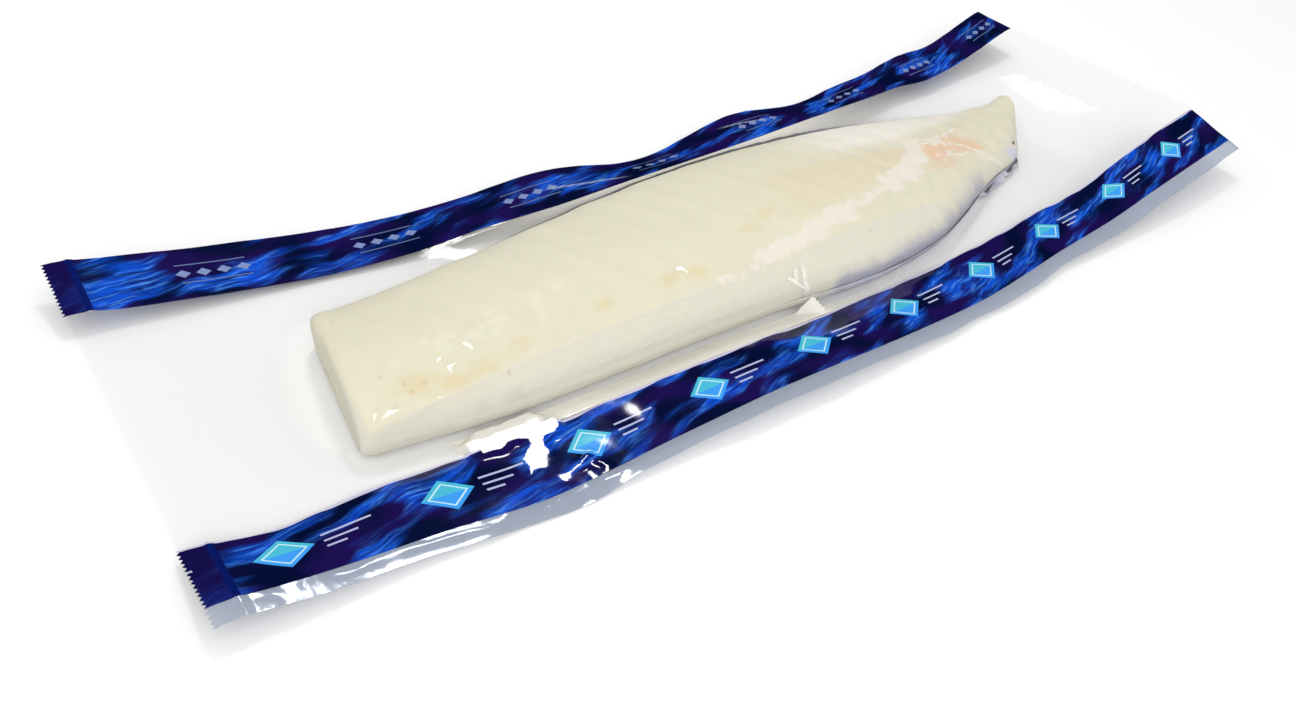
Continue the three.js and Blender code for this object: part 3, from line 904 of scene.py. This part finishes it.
def with_flats(x, y, z):
    """Heights z of the film with its flat places let in, and how much each point is in one. On the loin the
    film is flat for some way round each, where it clings."""
    inside = np.zeros_like(z)
    for lines, width, middle, height, rise in FLATS:
        ragged_x = x + 1.1 * width * (noise(x / width, y / width, 61) - 0.5)
        ragged_y = y + 1.1 * width * (noise(x / width, y / width, 62) - 0.5)
        near = np.zeros_like(z)
        for line in lines:
            near = np.maximum(near, stroke(ragged_x, ragged_y, line, width, 1.0))
        window = smooth((near - 0.35) / 0.3)
        share = window if height else smooth(near / 0.05)
        dx, dy = x - middle[0], y - middle[1]
        away = dx * dx + dy * dy
        if height is None:
            height = z.flat[np.argmin(away)] + 0.35
        ripple = 0.08 * (noise(x / 3, y / 3, 63) - 0.5)
        z = z * (1 - share) + share * (height + rise[0] * dx + rise[1] * dy + FLAT_BEND * away + ripple)
        inside = np.maximum(inside, window)
    return z, inside


def upper_columns(loin, far, near, share):
    """The x and y of the upper film's points. The columns close up towards the loin's near foot, and one of
    them follows it."""
    foot = foot_of(loin, far.x)[:, None] - 0.4
    to_foot = 1 - np.clip(1 - share / FOOT_SHARE, 0, 1) ** 1.6
    past_foot = (share - FOOT_SHARE) / (1 - FOOT_SHARE)
    y = np.where(
        share < FOOT_SHARE,
        far.y[:, None] + (foot - far.y[:, None]) * to_foot,
        foot + (near.y[:, None] - foot) * past_foot,
    )
    return np.broadcast_to(far.x[:, None], y.shape), y


def milkiness(x, y, z, share, web):
    """How milky the upper film is: on the webs beside the loin, along the pleat, and in white lines along the
    fold that are a painted highlight.
    """
    cream = smooth((x + 207.5 + 0.51 * (y + 52)) / 8) * smooth((70 - x) / 90)
    near_web = smooth((share - FOOT_SHARE + 0.004) / 0.012) * smooth((230 - np.abs(x)) / 30)
    far_web = web * smooth((0.45 - share) / 0.1) * smooth((180 - np.abs(x)) / 150)
    near_flank = smooth((-54 - y) / 2)
    # White lines along the fold's legs: a painted highlight.
    fold_glint = sum(stroke(x, z, leg, FOLD_GLINT_WIDTH, near_flank) for leg in FOLD_GLINT_LEGS)
    from_pleat, _ = off_segment(x, y, *PLEAT)
    milky = near_web * (0.08 + 0.66 * cream) * (0.8 + 0.3 * noise(x / 40, y / 9, 14)) + 0.8 * far_web
    return np.clip(milky + 0.35 * bump(from_pleat / 3) + fold_glint, 0, 0.95)


def upper_film(loin, edge, far, near):
    """The clear film over the loin, between the two bands."""
    share = np.linspace(0, 1, FILM_COLUMNS)[None, :]
    x, y = upper_columns(loin, far, near, share)
    lower = height_over(film_tree, x, y, None) + FILM_GAP
    over = np.maximum(*(height_over(tree_of(piece.data), x, y, -1.0) for piece in (loin, edge)))
    over = np.maximum(over + 2 * FILM_GAP, lower)
    z = drawn_down(np.maximum(over, pleat(x, y)), far.z, near.z, suction(x, share))
    z, flat = with_flats(x, y, z)
    z = np.maximum(z, over)
    points = np.stack([x, y, z], axis=-1)
    facing = normals(points)
    on_loin = smooth((over - lower) / 4)
    web = 1 - on_loin
    wrinkle = 0.05 * creased(x / 13, y / 9, 12) + 0.07 * creased(x / 30, y / 22, 13) * web
    steep = smooth((0.95 - facing[..., 2]) / 0.2)
    wrinkle = wrinkle + 0.35 * steep * on_loin
    inside = np.sin(np.pi * share) ** 0.3 * (1 - flat)
    points = points + facing * (wrinkle * inside)[..., None]
    points[..., 2] += seal_ridge(x)
    tail_end = 0.85 * smooth((x - 190) / 40)
    fields = {
        "milky": milkiness(x, y, z, share, web),
        "taut": on_loin * smooth((SHOULDER + 1 - y) / 3) * smooth((-30 - x) / 60),
        "cling": np.maximum(np.maximum(on_loin, steep), tail_end) * (1 - flat),
    }
    mesh = sheet("upper_film", cut_to_length(points), fields=fields)
    film = clear_film("clear_film", 0.01, "#F6F3E8")
    return show("upper_film", mesh, film, "clear_film", "film_pouch")


def lower_film(far, near):
    """The clear film under the loin, which lies on the table."""
    some = slice(None, None, 4)
    x = far.x[some, None] * 0.996
    share = np.linspace(0, 1, 90)[None, :]
    y = far.y[some, None] * (1 - share) + near.y[some, None] * share
    x = np.broadcast_to(x, y.shape)
    z = height_over(film_tree, x, y, None, from_below=True) + 0.05
    mesh = sheet("lower_film", np.stack([x, y, z], axis=-1))
    film = clear_film("clear_film_under", 0.0, "#FFFFFF")
    return show("lower_film", mesh, film, "clear_film", "film_pouch")


def margin(near, width):
    """The clear margin outside the near band, where both layers are sealed together."""
    outer = near.points(width)[:, 0]
    strip = Strip(outer[:, 0], outer[:, 1], -1, *MARGIN_SAMPLES)
    strip.z = outer[:, 2]
    uneven = 2.5 * (noise(near.x / 24, near.x / 90, 22)[:, None] - 0.6)
    reach = np.linspace(0, 1, 9)[None, :] * (MARGIN_WIDTH + uneven)
    points = strip.points(reach)
    x, across = points[..., 0], np.broadcast_to(reach, points[..., 0].shape)
    lift = 0.35 * creased(x / 16, across / 6, 21) * np.minimum(across / 2, 1)
    points = points + normals(points) * (lift + seal_ridge(x))[..., None]
    mesh = sheet("sealed_margin", cut_to_length(points), MARGIN_THICKNESS)
    # The sealed film's blue-grey tint: its milkiness, with painted shade in it.
    film = clear_film("sealed_film", 0.5, "#ADB7C9")
    return show("sealed_margin", mesh, film, "clear_film", "film_pouch")


# ---- The pack --------------------------------------------------------------------------------------------
table()
camera()
lights()
loin = flesh()
skin()
edge = skin_edge()
rows = np.linspace(-HALF_LENGTH, HALF_LENGTH, ROW_COUNT)
far_strip = Strip(rows, edge_y(FAR_INNER, FAR_INNER_STRAY, rows), 1, *BAND_SAMPLES)
near_strip = Strip(rows, edge_y(NEAR_INNER, NEAR_INNER_STRAY, rows), -1, *BAND_SAMPLES)
far_width = width_of(far_strip, FAR_INNER, FAR_OUTER_STRAY)
near_width = width_of(near_strip, NEAR_INNER, NEAR_OUTER_STRAY)
band("band_far", far_strip, far_width, FAR_CREASES, PRINT_SLANT, silver_diamonds, 31)
band("band_near", near_strip, near_width, [], -PRINT_SLANT, cyan_diamonds, 41)
upper_film(loin, edge, far_strip, near_strip)
lower_film(far_strip, near_strip)
margin(near_strip, near_width)
